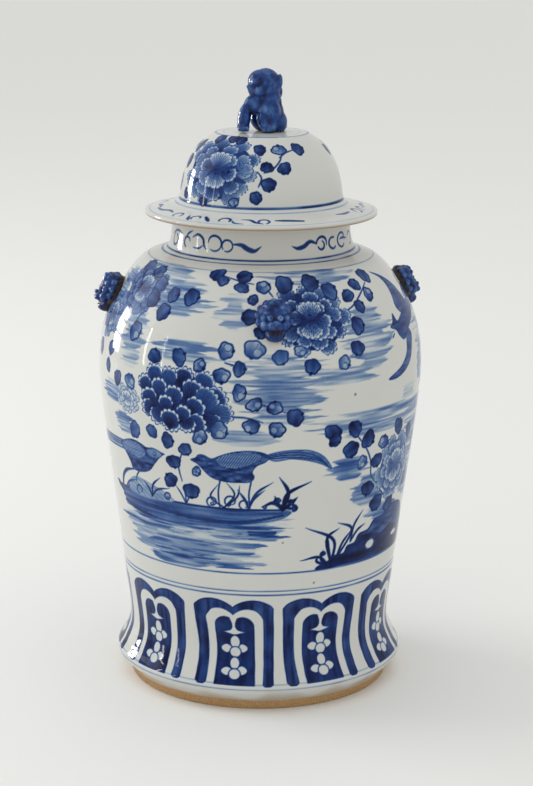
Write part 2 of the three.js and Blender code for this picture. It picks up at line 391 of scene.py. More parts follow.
def blades(canvas, foot, tips, width, tone=0.92):
    """Grass: curved blades from one foot. tips: the middle and end points of each."""
    for middle, tip in tips:
        stroke(canvas, [foot, middle, tip], width, tone, ends=(0.9, 0.12))


# ---- painting: the lotus panels and scrolls ----

PANEL_CENTRES = (-54.5, -15.5, 21.5, 60, 101, 142, 183, 224, 264.5)
PANEL_HALF = 40.0  # mm from a panel's centre to its outer edge
PANEL_DEGREE = 2.33  # mm to a degree, so that a panel keeps its width all the way down
PANEL_FOOT = 32.0
PANEL_SHOULDER = 111.5
BAND_WIDTH = 10.2  # of the dark arch
CURL_RADIUS = 10.2  # of the two curls at the top of the field
# Petals of the two blossoms in a panel: mm across and up, then half width and half height.
BLOSSOMS = [
    ((-8.0, 68.5), (5.4, 4.2)), ((7.8, 69), (5.2, 4.2)), ((0.6, 75.4), (4.6, 6.2)),
    ((0.8, 65.2), (5.2, 4.8)), ((-7.2, 46.5), (5.4, 4.0)), ((7.4, 47.5), (5.0, 4.2)),
    ((0.3, 54.4), (4.4, 5.4)), ((0.5, 43.8), (5.2, 4.8)),
]


def lotus_panel(canvas, at, seed):
    """A lotus panel: a dark arch with two shoulders, a white one, and a dark field with two blossoms."""
    rng = np.random.default_rng(seed)
    where, x, _ = canvas.patch(at, 75, 62)
    y = canvas.up[where[0]] + 0 * x
    x = canvas.around(at)[where[1]] * PANEL_DEGREE + 0 * x
    x = x - rng.uniform(0.01, 0.035) * (PANEL_SHOULDER - y)
    sway = 0.6 * np.sin(y / 17 + rng.uniform(0, 6))
    side = np.abs(x + sway)
    left = 1.0 + 0.12 * (x < 0)
    streaks = canvas.noise(1.3, 22, seed)[where] + 0.5 * canvas.noise(5, 9, seed + 1)[where]

    def hump(level, height, half):
        return level + height * np.sin(np.pi * np.clip(side / half, 0, 1)) ** 0.75

    width = PANEL_HALF - 0.03 * (PANEL_SHOULDER - y) - 0.8 * streaks
    band = BAND_WIDTH * left
    corner = 0.022 * np.clip(side - width + 7, 0, 20) ** 2
    leg = width - band / 2
    foot = PANEL_FOOT + 0.16 * np.clip(np.abs(side - leg) - 1.5, 0, 9) ** 2
    outer = np.maximum(np.maximum(side - width, foot - y), y - hump(PANEL_SHOULDER, 8, width) + corner)
    canvas.cover(where, soft(outer), 0.56 + 0.32 * streaks)
    canvas.darken(where, 0.97 * soft(np.abs(outer + 0.6) - 0.7))

    gap = width - band
    bend = 0.05 * np.clip(side - gap + 9, 0, 20) ** 2
    white = np.maximum(side - gap, y - hump(PANEL_SHOULDER - 8.5, 7, gap) + bend)
    canvas.cover(where, soft(white) * (y > PANEL_FOOT - 3), 0.0)
    canvas.darken(where, 0.95 * soft(np.abs(white - 0.6) - 0.5) * soft(outer))

    field = gap - 7.8 - 0.03 * (y - 60)
    box = np.maximum(np.maximum(side - field, y - 93), PANEL_FOOT + 1 - y)
    curls = np.hypot(side - field + CURL_RADIUS, (y - 92) / 0.95) - CURL_RADIUS
    inner = np.minimum(box, curls)
    wedge = side - np.interp(y, [85, 88, 91, 95, 103], [6.5, 2.8, 1.3, 1.6, 4.6])
    inner = np.maximum(inner, np.where(y > 85, -wedge, -5))
    canvas.cover(where, soft(inner), 0.70 + 0.22 * streaks)
    canvas.darken(where, 0.97 * soft(np.abs(inner + 0.6) - 0.6))
    flare = (side / 8.5 + np.abs(y - 85.5) / 2.6 - 1) * 2.4
    canvas.cover(where, soft(flare - 0.3), 0.0)
    for (dx, up), (rx, ry) in BLOSSOMS:
        sharp = 1 + 0.22 * np.abs(x - dx) / rx if abs(dx) > 2 else 1
        away = (np.hypot((x - dx) / rx, (y - up) / ry * sharp) - 1) * min(rx, ry)
        canvas.cover(where, soft(away - 0.9), 0.92)
        canvas.cover(where, soft(away), 0.02)


def neck_scrolls(canvas):
    """Two running scrolls that start from a gap over the mask, one to each side."""
    brush(canvas, [
        ([(-5, 479), (-9, 475), (-13, 476.5), (-17, 480), (-22, 480.5)], 4.6, 0.78, (0.15, 0.3)),
        ([(-53, 483), (-48, 486.5), (-44, 483), (-43, 477), (-41, 473.5)], 2.4, 0.85),
        ([(-52, 473.5), (-47, 473.5), (-43.5, 477)], 1.8, 0.7),
        ([(-60, 482), (-57, 486), (-53, 489)], 2.0, 0.7),
        ([(-64, 484), (-71, 486), (-80, 481)], 2.2, 0.6),
        ([(14.5, 478.8), (18, 476.6), (22.5, 478), (27, 482), (31.5, 479.8)], 4.0, 0.8, (0.15, 0.4)),
        ([(54, 480), (58, 480.5), (64, 479)], 2.2, 0.75),
        ([(76, 480), (82, 476), (88, 479), (93, 481)], 3.4, 0.7, (0.3, 0.2)),
    ], [
        (-26.3, 478.7, 5.4, 85, -215, 1.8, 0.8), (-26.3, 478.7, 5.4, 85, 120, 1.6, 0.75),
        (-35, 480, 7.2, 110, -195, 2.0, 0.85), (-35, 480, 7.2, 105, 110, 1.6, 0.7),
        (-58, 478, 5.5, 200, 240, 2.0, 0.75, 0.3), (-74, 477, 5.5, 20, 320, 2.0, 0.65),
        (36, 479, 6.4, -85, 190, 2.2, 0.88), (35.5, 477.5, 4.0, -110, -230, 2.0, 0.85),
        (46, 478, 5.4, 20, -250, 2.2, 0.85), (56, 479, 6.8, 60, -290, 2.2, 0.8),
        (70, 478, 6.0, 300, 250, 2.0, 0.7),
    ])


# ---- painting: birds, bank and rock ----

def small_bird(canvas):
    """A round bird that faces right, on the left end of the bank."""
    for low, high in ((252, 253), (254.5, 256), (257, 258.5), (259.5, 261)):
        stroke(canvas, [(-88, low - 1), (-77, high), (-64, high + 1)], 2.2, 0.72, (0.5, 0.8))
    body = [
        (-41.5, 260), (-43.5, 262.5), (-46, 264), (-49.5, 263), (-52.5, 265.5), (-57, 267), (-62, 264),
        (-66, 259), (-63, 252), (-60, 243), (-59, 237), (-54, 236), (-49, 240), (-46, 248),
        (-43.5, 255),
    ]
    shape(canvas, body, 0.78, 0.97, 0.34, 31, (2.5, 2.2))
    wing = [
        (-65, 259), (-61, 264.5), (-56, 266), (-52, 263), (-50, 257), (-52, 250.5), (-58, 250),
        (-63, 253),
    ]
    hatched(canvas, wing, (0.42, 0.85, 0.25, 32), 62, 2.6, 0.62)
    head = [(-42, 260), (-44, 263), (-47, 263.5), (-49.5, 260.5), (-49, 256.5), (-46, 253.5), (-43, 256)]
    shape(canvas, head, 0.38, 0.85, 0.2, 33)
    curl(canvas, -45.6, 258.6, 1.9, 0, 350, 1.0, 0.9)
    stroke(canvas, [(-42.5, 260.3), (-40.8, 260)], 2.0, 0.9)
    stroke(canvas, [(-55, 236), (-57, 230), (-57.5, 224)], 1.5, 0.85, (1, 0.8))


def pheasant(canvas):
    """A long-tailed bird that stands and faces left."""
    tail = [
        (-3, 267), (1, 271), (7, 272.5), (13, 271), (17.5, 265), (20.5, 256), (21.5, 250.5),
        (17.5, 256), (12, 261), (6, 263.5), (0, 262),
    ]
    shape(canvas, tail, 0.45, 0.8, 0.3, 41, (12, 1.2))
    for drop in (1.6, 4.2, 6.6):
        line = [
            (-2, 267.5 - drop / 2), (5, 272 - drop), (12, 270 - drop), (17, 262.5 - drop / 2),
            (20.6, 252),
        ]
        stroke(canvas, line, 1.3, 0.9, (0.9, 0.6))
    body = [
        (-30, 259.4), (-28, 262), (-27, 265), (-25, 265.5), (-22, 262.5), (-19, 266), (-14, 270.5),
        (-8, 272), (-3.5, 270), (-1.5, 266), (-3, 261), (-6, 257), (-7.5, 251), (-6.8, 246),
        (-8, 241.5), (-12, 240), (-18, 240.5), (-22.5, 244), (-25.5, 251), (-27.5, 256),
    ]
    hatched(canvas, body, (0.74, 0.97, 0.34, 42, (2.5, 2.2)), 100, 4.4, 0.90, 0.7)
    wing = [
        (-20.5, 262), (-18, 267), (-13, 270.5), (-7, 270.5), (-4, 267), (-6, 261), (-10, 256),
        (-15, 253.5), (-19, 256),
    ]
    hatched(canvas, wing, (0.40, 0.92, 0.2, 43), 35, 2.0, 0.82, 0.9)
    curl(canvas, -25.8, 261.3, 1.5, 0, 350, 0.9, 0.95)
    for x in (-19.2, -8):
        stroke(canvas, [(x, 241), (x - 0.8, 228), (x - 0.4, 214)], 1.4, 0.9, (1, 0.8))


def flying_pheasant(canvas):
    """A bird in flight by the right shoulder: a crescent wing, a body, and a long tail below."""
    wing = [
        (54, 433), (60, 427), (66, 417), (70, 406), (72, 393), (67, 384), (61, 386), (59, 393),
        (60.5, 404), (60.5, 416), (58.5, 425),
    ]
    hatched(canvas, wing, (0.66, 0.9, 0.30, 51), 20, 3.0, 0.75, 0.8)
    lower = [
        (62, 370), (59.5, 362), (58, 349), (53.5, 338), (45, 328.5), (49, 327.2), (55.5, 331.5),
        (60.5, 340), (63.2, 352), (65, 364),
    ]
    hatched(canvas, lower, (0.62, 0.9, 0.30, 52), 30, 2.6, 0.72, 0.8)
    body = [
        (49.8, 376), (52, 380), (54, 388), (55.5, 380), (60, 384), (67, 391), (78, 395), (84, 392),
        (76, 384), (70, 376), (64, 370), (57.5, 361), (54.5, 366), (53, 372),
    ]
    shape(canvas, body, 0.74, 0.9, 0.2, 53)
    far_wing = [(74, 398), (80, 407), (88, 404), (92, 396), (86, 388), (78, 390)]
    shape(canvas, far_wing, 0.5, 0.7, 0.25, 54)
    curl(canvas, 53.3, 376.5, 1.2, 0, 350, 0.9, 0.2)
    stroke(canvas, [(51.5, 369.5), (49.5, 365.5)], 1.6, 0.85)


def bank(canvas):
    """The bank that the birds stand on, with a mound, curled shoots and grass along it."""
    outline = [
        (-74, 213), (-66, 214.5), (-50, 213.5), (-30, 213), (-12, 213), (3, 213), (7, 210), (4, 204),
        (-6, 199), (-20, 196), (-32, 193), (-44, 191), (-54, 192), (-63, 195), (-68, 200), (-70, 207),
    ]
    shape(canvas, outline, 0.58, 0.6, 0.35, 61, (14, 1.6))
    brush(canvas, [
        ([(-72, 213.5), (-45, 213.6), (-15, 213), (4, 212.6)], 1.8, 0.95, (1, 0.8)),
        ([(-69, 204.5), (-50, 204), (-30, 200.5), (-12, 200), (4, 207)], 4.6, 0.78, (0.8, 0.5)),
        ([(-68, 199), (-58, 195), (-46, 193)], 4.0, 0.82, (0.8, 0.2)),
        ([(-75, 216), (-72.5, 213), (-68, 207)], 5.0, 0.95, (0.2, 0.4)),
    ])
    mound = [(-64, 214), (-62, 224), (-57, 229.5), (-50, 227), (-42, 221), (-38, 214)]
    hatched(canvas, mound, (0.26, 0.4, 0.4, 62), -60, 4.2, 0.5, 1.2)
    fiddleheads = [(-56, 217, 5), (-41, 218, 4), (-22.5, 219, 5.5), (-15.5, 221, 6), (-10.5, 218, 5)]
    for at, up, radius in fiddleheads:
        curl(canvas, at, up, radius, 200, 320, 1.6, 0.85, 0.35)
    for at, up in ((-22.5, 217), (-16, 218), (-41, 216), (-64, 216), (-3, 216)):
        curl(canvas, at, up, 1.4, 0, 350, 1.4, 0.9)
    stroke(canvas, [(-69, 214), (-67.5, 224), (-64, 232), (-57, 237)], 3.6, 0.85, (0.8, 0.15))
    stroke(canvas, [(-66, 214), (-63, 221), (-57, 226)], 2.2, 0.8, (0.8, 0.15))
    tufts = [
        ((-49, 214),
         [((-48, 226), (-44, 235)), ((-46, 222), (-40, 226)), ((-50.5, 222), (-53, 228))], 2.0),
        ((-33, 214), [((-35, 224), (-37, 231)), ((-31, 222), (-27, 227)), ((-33, 222), (-33, 230))], 1.4),
        ((-18, 214), [((-23, 224), (-20, 237)), ((-14, 228), (-17, 240)), ((-13, 226), (-12, 238))], 1.6),
        ((-9, 214), [((-6, 230), (0, 241)), ((-7, 224), (-3, 233)), ((-10, 222), (-13, 233))], 2.4, 0.85),
        ((3.5, 212),
         [((5, 228), (14, 240)), ((5.5, 230), (2, 246)), ((1.5, 220), (0.5, 227)),
          ((7, 220), (9, 225))], 3.4, 0.97),
    ]
    for tuft in tufts:
        blades(canvas, *tuft)
    stroke(canvas, [(-4, 216), (0, 220), (3, 216), (8, 213)], 4.0, 0.92, (0.3, 0.6))
    for at, up, size, turn in ((8, 214, 4, 90), (1.4, 222, 4, -20), (6.5, 220, 4, 40)):
        leaf(canvas, at, up, size, turn, 0.95)


def rock(canvas):
    """The rock at the foot of the right-hand flowers, with grass at its left."""
    outline = [
        (17.5, 149), (19.5, 153), (23, 156), (25.5, 160.5), (30, 161.5), (31.5, 168), (35, 170),
        (37, 177.5), (42, 180), (45, 188), (51, 190), (55, 196), (62, 196.5), (68, 192), (72, 180),
        (76, 165), (78, 149), (60, 148.6), (45, 148.6), (30, 148.6),
    ]
    shape(canvas, outline, 0.88, 0.98, 0.16, 71, (6, 6))
    upper = [
        (38, 176), (43, 179), (46, 187), (52, 188.5), (56, 194), (62, 194.5), (67, 190), (71, 178),
        (66, 172), (58, 176), (52, 171), (45, 174),
    ]
    shape(canvas, upper, 0.70, 0.0, 0.30, 72, (4, 3))
    stroke(canvas, [(34, 165), (40, 170), (48, 166), (56, 170), (64, 166)], 2.2, 0.98, (0.3, 0.3))
    stroke(canvas, [(50, 186), (53, 178), (60, 182), (66, 178)], 1.6, 0.95, (0.3, 0.3))
    for points in ([(41.5, 163), (43, 167.5), (46, 168), (47.2, 164), (46, 159), (43, 158.5)],
                   [(61, 162), (63, 166), (67, 165.5), (68, 161), (64, 159.5)]):
        shape(canvas, points, 0.04, 0.75, 0.0, 73)
    tufts = [
        ((24.5, 152),
         [((25, 176), (12.5, 193)), ((22.5, 172), (22, 182)), ((22, 180), (27, 188))], 3.0, 0.95),
        ((26.5, 156), [((29, 172), (33, 184)), ((33, 185), (26, 194))], 2.6, 0.9),
        ((33, 172), [((34, 188), (38, 202)), ((36, 182), (40, 187))], 2.6, 0.88),
        ((23, 152),
         [((19, 161), (11, 159)), ((20, 158), (20.5, 168)), ((18, 157), (18.5, 162))], 2.6, 0.95),
    ]
    for tuft in tufts:
        blades(canvas, *tuft)
    leaf(canvas, 20.5, 164, 3.4, 0, 0.95)


# ---- painting: what is on the jar ----

# Washes: degrees, mm up, half width in degrees, height in mm, tone.
WASHES = [
    (-55, 438, 22, 12, 0.34), (-40, 412, 19, 20, 0.40), (-15, 403, 9, 20, 0.28), (-32, 362, 19, 12, 0.36),
    (-57, 368, 10, 32, 0.32), (2, 340, 22, 26, 0.38), (18, 438, 28, 11, 0.38), (38, 372, 15, 32, 0.38),
    (24, 340, 22, 9, 0.34), (2, 312, 20, 16, 0.38), (60, 311, 9, 8, 0.20), (80, 362, 14, 32, 0.30),
    (42, 291, 34, 14, 0.40), (29, 248, 12, 13, 0.48), (39, 222, 11, 18, 0.38), (50, 196, 15, 9, 0.44),
    (-69, 310, 11, 12, 0.46), (-62, 286, 8, 7, 0.44), (-61, 276, 8, 6, 0.38), (-10, 284, 13, 9, 0.30),
    (-80, 400, 14, 34, 0.42), (72, 240, 18, 46, 0.40), (70, 285, 18, 18, 0.40), (84, 200, 14, 20, 0.34),
]
# The water under the bank.
RIPPLES = [
    (-6, 200, 16, 10, 0.30), (-52, 172, 16, 14, 0.28), (-20, 170, 20, 12, 0.26), (-44, 196, 24, 8, 0.36),
    (-36, 187, 38, 20, 0.24), (-34, 166, 27, 16, 0.28), (-37, 156, 18, 8, 0.32), (-10, 192, 18, 12, 0.28),
    (-44, 194, 30, 7, 0.60), (-54, 183, 22, 6, 0.52), (-36, 172, 26, 8, 0.52), (-38, 157, 17, 9, 0.64),
    (-18, 190, 24, 9, 0.56), (-14, 172, 14, 8, 0.50), (-15, 156, 13, 5, 0.50), (-30, 164, 18, 6, 0.56),
    (-4, 186, 12, 6, 0.60),
]
# Leaves: degrees, mm up, size in mm, the way its tip points, tone.
DARK_LEAVES = [
    (-25.5, 441, 9, -70, 0.95), (-22, 434, 7, 80, 0.8), (-12.5, 440, 9, 95, 0.97),
    (-13, 427, 8, 20, 0.82), (5, 431, 11, 85, 0.85), (17, 432, 11, 90, 0.92), (25, 421, 10, 60, 0.75),
    (-8, 415, 6, -80, 0.82), (-9, 398, 9, -60, 0.9), (-5, 383, 7, 200, 0.9), (33, 414, 8, -20, 0.85),
    (39, 424, 8, 30, 0.85), (48, 431, 10, 50, 0.78), (37, 402, 8, 60, 0.8), (33, 384, 10, 90, 0.84),
    (31, 364, 9, 200, 0.86), (13, 351, 9, 200, 0.8), (2, 361, 9, 160, 0.62), (-70, 438, 9, -30, 0.78),
    (-58, 434, 10, 20, 0.78), (-52, 422, 10, 80, 0.74), (-53, 407, 11, 90, 0.82),
    (-43, 414, 9, 90, 0.78), (-34, 414, 10, 90, 0.82), (-45, 396, 10, 90, 0.8), (-44, 354, 9, 0, 0.88),
    (-34, 357, 10, 60, 0.8), (-12, 350, 8, 90, 0.78), (-46, 281, 8, 30, 0.74), (-55, 278, 10, 110, 0.7),
    (-39, 275, 9, 90, 0.86), (-32, 269, 8, 150, 0.78), (-37, 255, 9, 170, 0.92),
    (-39, 235, 9.5, -40, 0.92), (-30.5, 228, 9.5, 180, 0.88), (7, 304, 10, 60, 0.88),
    (21, 287, 10, 200, 0.97), (22, 279, 8, 120, 0.97), (30, 287, 10, 60, 0.95),
    (29, 267, 10, 170, 0.95), (36.5, 274, 10, 120, 0.92), (42, 250, 9, 160, 0.85),
    (39, 223, 10, 190, 0.95), (45, 206, 11, 160, 0.92), (54, 278, 10, 60, 0.85),
    (54, 199, 10, 150, 0.85), (-70, 350, 9, -60, 0.75), (-72, 332, 8, -100, 0.82),
    (-64, 324, 9, -60, 0.88), (-82, 345, 10, -80, 0.8), (-81, 372, 9, 30, 0.75), (64, 268, 9, 60, 0.8),
    (72, 256, 9, 80, 0.7), (69, 218, 10, 120, 0.75), (79, 236, 9, 60, 0.7),
]
PALE_LEAVES = [
    (-4, 428, 8, 60, 0.78), (44.5, 412, 8, 90, 0.8), (25, 352, 8, 120, 0.6), (-56, 373, 11, 90, 0.78),
    (-26, 351, 8, 120, 0.78), (-17, 366, 9.5, 90, 0.74), (-18, 343, 9, 180, 0.8),
    (-12, 328, 9, 90, 0.78), (-7, 368, 11, 200, 0.66), (-7, 317, 9, 150, 0.82), (-8, 296, 9, 180, 0.82),
    (0, 314, 8, 0, 0.88), (1, 293, 9, 200, 0.82), (-19, 291, 10, 110, 0.72), (-26, 283, 9, 130, 0.76),
    (34.5, 252, 8, 100, 0.64), (45, 267, 9, 10, 0.72), (-56, 325, 9, 30, 0.64), (9, 366, 7, 200, 0.55),
    (-28, 248, 6, 120, 0.7),
]
STEMS = [
    [(30, 283), (36, 265), (39, 250), (40, 236), (44, 225)],
    [(28, 398), (34, 404), (40, 414), (46, 424)], [(-6, 431), (-2, 424), (0, 418)],
    [(-20, 438), (-14, 434), (-8, 431)], [(-33, 267), (-35, 250), (-34, 236)],
    [(-17, 355), (-13, 352), (-10, 348)], [(-9, 320), (-3, 316), (4, 309)],
    [(-15, 305), (-9, 304), (-4, 300)], [(-55, 392), (-57, 383), (-54, 372)],
    [(45, 222), (48, 214), (52, 206)],
]
# Flowers: degrees, mm up, half width in mm, tone, tip, squash.
PEONIES = [
    (-62, 414, 33, 0.82, 0.36, 0.85), (-77, 380, 27, 0.66, 0.26, 0.9), (-58, 307, 19, 0.34, 0.04, 0.8),
    (14, 394, 41, 0.88, 0.08, 0.88), (55, 238, 34, 0.60, 0.12, 1.0), (77, 330, 26, 0.46, 0.2, 0.9),
]
SIDE_PEONY = (-34, 318, 53, 0.94, 0.05, 1.0)
# Specks of iron in the glaze: degrees, mm up, radius in mm.
IRON_SPECKS = [
    (29, 321, 1.1), (4, 179, 0.7), (17.5, 135, 0.8), (118, 288, 0.9), (201, 344, 0.8), (252, 139, 0.7),
]


def scene(canvas, seed):
    """One side of the jar: flowers over a bank with two birds, a rock, and a bird in flight."""
    for i, each in enumerate(WASHES + RIPPLES):
        wash(canvas, *each, seed + 7 * i)
    bank(canvas)
    rock(canvas)
    flying_pheasant(canvas)
    stems(canvas, STEMS)
    for flower in PEONIES:
        open_peony(canvas, *flower)
    side_peony(canvas, *SIDE_PEONY)
    spray(canvas, DARK_LEAVES)
    spray(canvas, PALE_LEAVES, open_middle=True)
    small_bird(canvas)
    pheasant(canvas)


# Wheel lines: mm up, width in mm, tone.
JAR_LINES = [
    (147.5, 1.4, 0.62), (129, 1.1, 0.55), (125, 1.5, 0.6), (34, 1.3, 0.28), (29, 1.4, 0.3),
    (446, 1.8, 0.26), (460, 1.8, 0.55), (465.5, 1.4, 0.85),
]
LID_LINES = [(39.5, 2.4, 0.72), (34, 1.6, 0.24), (8, 1.4, 0.2), (114.5, 2.2, 0.32), (122, 1.4, 0.2)]
FRONT_SEED = 100
BACK_SEED = 900


def paint_jar(canvas):
    for side, seed in ((180, BACK_SEED), (0, FRONT_SEED)):
        canvas.turned = side
        scene(canvas, seed)
        neck_scrolls(canvas)
    canvas.turned = 0
    for i, at in enumerate(PANEL_CENTRES):
        lotus_panel(canvas, at, 300 + i)
    ring_lines(canvas, JAR_LINES, 40)


# ---- painting: what is on the lid ----

LID_DARK_LEAVES = [
    (-7, 97, 7.5, 60, 0.92), (-1, 78, 7, 0, 0.95), (0.5, 62, 8, 180, 0.9), (-9, 49.5, 7, 60, 0.85),
    (12.5, 77, 8, 150, 0.92), (30, 97, 8.5, 80, 0.85), (-28, 109, 7, 90, 0.95), (-38, 111, 7, -90, 0.9),
    (-56, 109, 8, -80, 0.85), (-80, 96, 9, -90, 0.85), (-88, 56, 9, -90, 0.75), (-49, 43, 6, 180, 0.9),
    (-71, 47, 6, -120, 0.8), (75, 91, 7, 80, 0.75), (98, 78, 8, 60, 0.85), (86, 96, 7, 0, 0.8),
]
LID_PEONY = (-41, 74, 45, 0.80, 0.12, 0.80)
LID_PALE_LEAVES = [(11, 97, 8.5, 0, 0.75), (-24, 45, 6, 160, 0.7), (-66, 60, 6, -90, 0.6)]
LID_STEMS = [
    [(-3, 73), (4, 77), (10, 85), (12, 90)], [(10, 88), (16, 93), (24, 96)],
    [(-7, 60), (-5, 68), (-8, 74)],
]


def brim_scrolls(canvas):
    brush(canvas, [
        ([(3, 19.5), (9, 19), (18, 16.5)], 4.5, 0.8, (0.5, 0.7)),
        ([(-16, 21), (-11, 20.5), (-8, 15), (-4, 12)], 3.2, 0.8),
        ([(-21, 18), (-19, 12.5), (-14, 11)], 2.2, 0.75),
        ([(-38, 22), (-35, 16), (-33, 11.5)], 3.8, 0.92, (0.6, 0.3)),
        ([(-49, 20), (-47, 14), (-45, 10)], 3.2, 0.9),
        ([(-64, 19), (-70, 21), (-77, 17), (-86, 16)], 3.8, 0.7),
        ([(44, 23), (50, 21.5), (57, 22.5)], 3.5, 0.7, (0.5, 0.65)),
        ([(82, 17), (88, 20), (95, 18)], 3.8, 0.75),
    ], [
        (-3.5, 17, 5.0, 150, -300, 2.5, 0.75), (-25, 17.5, 5.4, 110, -230, 2.8, 0.8),
        (-43, 17, 4.6, 80, -240, 2.2, 0.8), (-57, 17, 5.0, 110, -270, 2.2, 0.7),
        (66, 20, 5.2, 260, 300, 2.5, 0.75), (76, 19, 5.0, 100, -240, 2.5, 0.75),
    ])


def paint_lid(canvas):
    for side in (180, 0):
        canvas.turned = side
        stems(canvas, LID_STEMS)
        open_peony(canvas, *LID_PEONY)
        spray(canvas, LID_DARK_LEAVES)
        spray(canvas, LID_PALE_LEAVES, open_middle=True)
        brim_scrolls(canvas)
    canvas.turned = 0
    ring_lines(canvas, LID_LINES, 60)


def lid_rows():
    """The lid's painted outside, from the brim's lower edge to the middle of the crown."""
    brim = smooth_line(BRIM_OUTLINE)
    dome = smooth_line(DOME_OUTLINE)
    return even_rows(np.vstack([BRIM_EDGE[:1], brim, dome[1:], [(0.0, CROWN_HEIGHT)]]))


# ---- meshes ----

def turned_skin(rows, angles, closed=False):
    """Points and quads of a form turned about Z. rows are [radius, height], outward side to the right."""
    u = np.radians(angles)[None, :]
    r, z = rows[:, :1], rows[:, 1:]
    points = np.stack([r * np.sin(u), -r * np.cos(u), z + 0 * u], axis=-1).reshape(-1, 3)
    n, m = len(rows), len(angles)
    low = np.arange(n if closed else n - 1)[:, None] * m
    high = (low + m) % (n * m)
    here = np.arange(m)[None, :]
    there = (here + 1) % m
    quads = np.stack([low + here, low + there, high + there, high + here], axis=-1).reshape(-1, 4)
    return points, quads


def smooth_piece(name, mesh, values, material):
    """A smooth piece with one named number per point for each entry of values."""
    for key, numbers in values.items():
        layer = mesh.attributes.new(key, "FLOAT", "POINT")
        layer.data.foreach_set("value", numbers.astype(np.float32).ravel())
    mesh.shade_smooth()
    mesh.materials.clear()
    mesh.materials.append(material)
    piece = bpy.data.objects.new(name, mesh)
    bpy.context.scene.collection.objects.link(piece)
    return piece


def turned_piece(name, points, quads, values, material):
    mesh = bpy.data.meshes.new(name)
    mesh.vertices.add(len(points))
    mesh.vertices.foreach_set("co", points.astype(np.float32).ravel())
    mesh.loops.add(quads.size)
    mesh.loops.foreach_set("vertex_index", quads.astype(np.int32).ravel())
    mesh.polygons.add(len(quads))
    mesh.polygons.foreach_set("loop_start", np.arange(0, quads.size, 4, dtype=np.int32))
    mesh.update(calc_edges=True)
    mesh.validate()
    return smooth_piece(name, mesh, values, material)


def inward(line, depth):
    """The line moved to its left by a wall's thickness."""
    along = np.gradient(line, axis=0)
    along /= np.linalg.norm(along, axis=1)[:, None]
    return line + depth * np.stack([-along[:, 1], along[:, 0]], axis=1)


WALL = 0.0075
LID_WALL = 0.006
FOOT_RING = 0.014
FOOT_RECESS = 0.008
FLOOR_TOP = 0.019
FLAT_MIDDLE = 0.060  # radius of the flat part of the floor and of the base
AXIS = 0.0002  # a form ends in a ring this small round its middle line


def build_jar(material):
    outside = even_rows(smooth_line(JAR_OUTLINE))
    angles = column_angles()
    canvas = Canvas(outside, angles, 5)
    paint_jar(canvas)
    foot, rim = outside[0], outside[-1]
    under = np.array([
        (AXIS, FOOT_RECESS), (FLAT_MIDDLE, FOOT_RECESS + 0.0005),
        (foot[0] - FOOT_RING - 0.002, FOOT_RECESS),
        (foot[0] - FOOT_RING, FOOT_RECESS - 0.002), (foot[0] - FOOT_RING + 0.0006, 0.001),
        (foot[0] - FOOT_RING + 0.002, 0.0), (foot[0] - 0.0015, 0.0),
    ])
    outside[0] = (foot[0] - 0.0004, 0.0004)
    hollow = inward(outside, WALL)[::-6]
    hollow = hollow[(hollow[:, 1] > FLOOR_TOP + 0.012) & (hollow[:, 1] < rim[1] - 0.004)]
    lip = np.array([
        (rim[0] - 0.0008, rim[1]), (rim[0] - 0.0025, rim[1] + 0.0001),
        (rim[0] - WALL + 0.0020, rim[1]), (rim[0] - WALL + 0.0004, rim[1] - 0.0010),
    ])
    last = hollow[-1][0]
    floor = np.array([
        (last - 0.004, FLOOR_TOP + 0.004), (last - 0.014, FLOOR_TOP),
        (FLAT_MIDDLE, FLOOR_TOP), (AXIS, FLOOR_TOP),
    ])
    outside[-1] = (rim[0], rim[1] - 0.0006)
    rows = np.vstack([under, outside, lip, hollow, floor])
    points, quads = turned_skin(rows, angles)
    first, after = len(under), len(under) + len(outside)
    ink, clay, stain = np.zeros((3, len(rows), len(angles)))
    ink[first:after] = canvas.ink
    edge = BARE_FOOT_HEIGHT + 0.0012 * (canvas.noise(6, 60, 81)[0] - 0.5)
    clay[:first] = 1
    clay[first:after] = np.clip((edge[None, :] - outside[:, 1:]) / 0.0008 + 0.5, 0, 1)
    clay[after:after + 3] = 1
    drip = 0.004 + 0.016 * canvas.noise(9, 60, 82)[0] ** 2
    stain[first:after] = np.clip(1 - (outside[:, 1:] - edge[None, :]) / drip[None, :], 0, 1) ** 1.3 * 0.75
    for at, up, radius in IRON_SPECKS:
        (rows_at, cols_at), x, y = canvas.patch(at, up, 5)
        here = rows_at + first, cols_at
        stain[here] = np.maximum(stain[here], 2.2 * soft(np.hypot(x, y) - radius, 1.2))
    return turned_piece("jar_body", points, quads, {"ink": ink, "clay": clay, "stain": stain}, material)


def build_lid(material):
    outside = lid_rows()
    angles = column_angles(1.25)
    canvas = Canvas(outside, angles, 9)
    paint_lid(canvas)
    dome = smooth_line(DOME_OUTLINE)[::-6]
    inside = inward(dome[::-1], LID_WALL)[::-1]
    inside = inside[(inside[:, 0] > 0.02) & (inside[:, 1] < CROWN_HEIGHT - 0.0065)]
    edge = outside[0].copy()
    under = np.vstack([
        [(AXIS, CROWN_HEIGHT - 0.006), (0.030, CROWN_HEIGHT - 0.0062)], inside,
        [(0.0727, 0.4655), (0.0735, 0.4643), (0.0898, 0.4643), (0.0905, 0.4641), (0.1, 0.4625),
         (edge[0] - 0.0022, 0.4604), (edge[0] - 0.0008, 0.4603)],
    ])
    outside[-1] = (AXIS, CROWN_HEIGHT)
    outside[0] = (edge[0] - 0.0001, edge[1] + 0.0006)
    rows = np.vstack([under, outside])
    points, quads = turned_skin(rows, angles)
    first = len(under)
    ink, clay, stain = np.zeros((3, len(rows), len(angles)))
    ink[first:] = canvas.ink
    clay[first - 6:first - 3] = 1
    stain[first - 3:first + 2] = 1.1
    stain[first + 2:first + 3] = 0.6
    return turned_piece("lid_body", points, quads, {"ink": ink, "clay": clay, "stain": stain}, material)


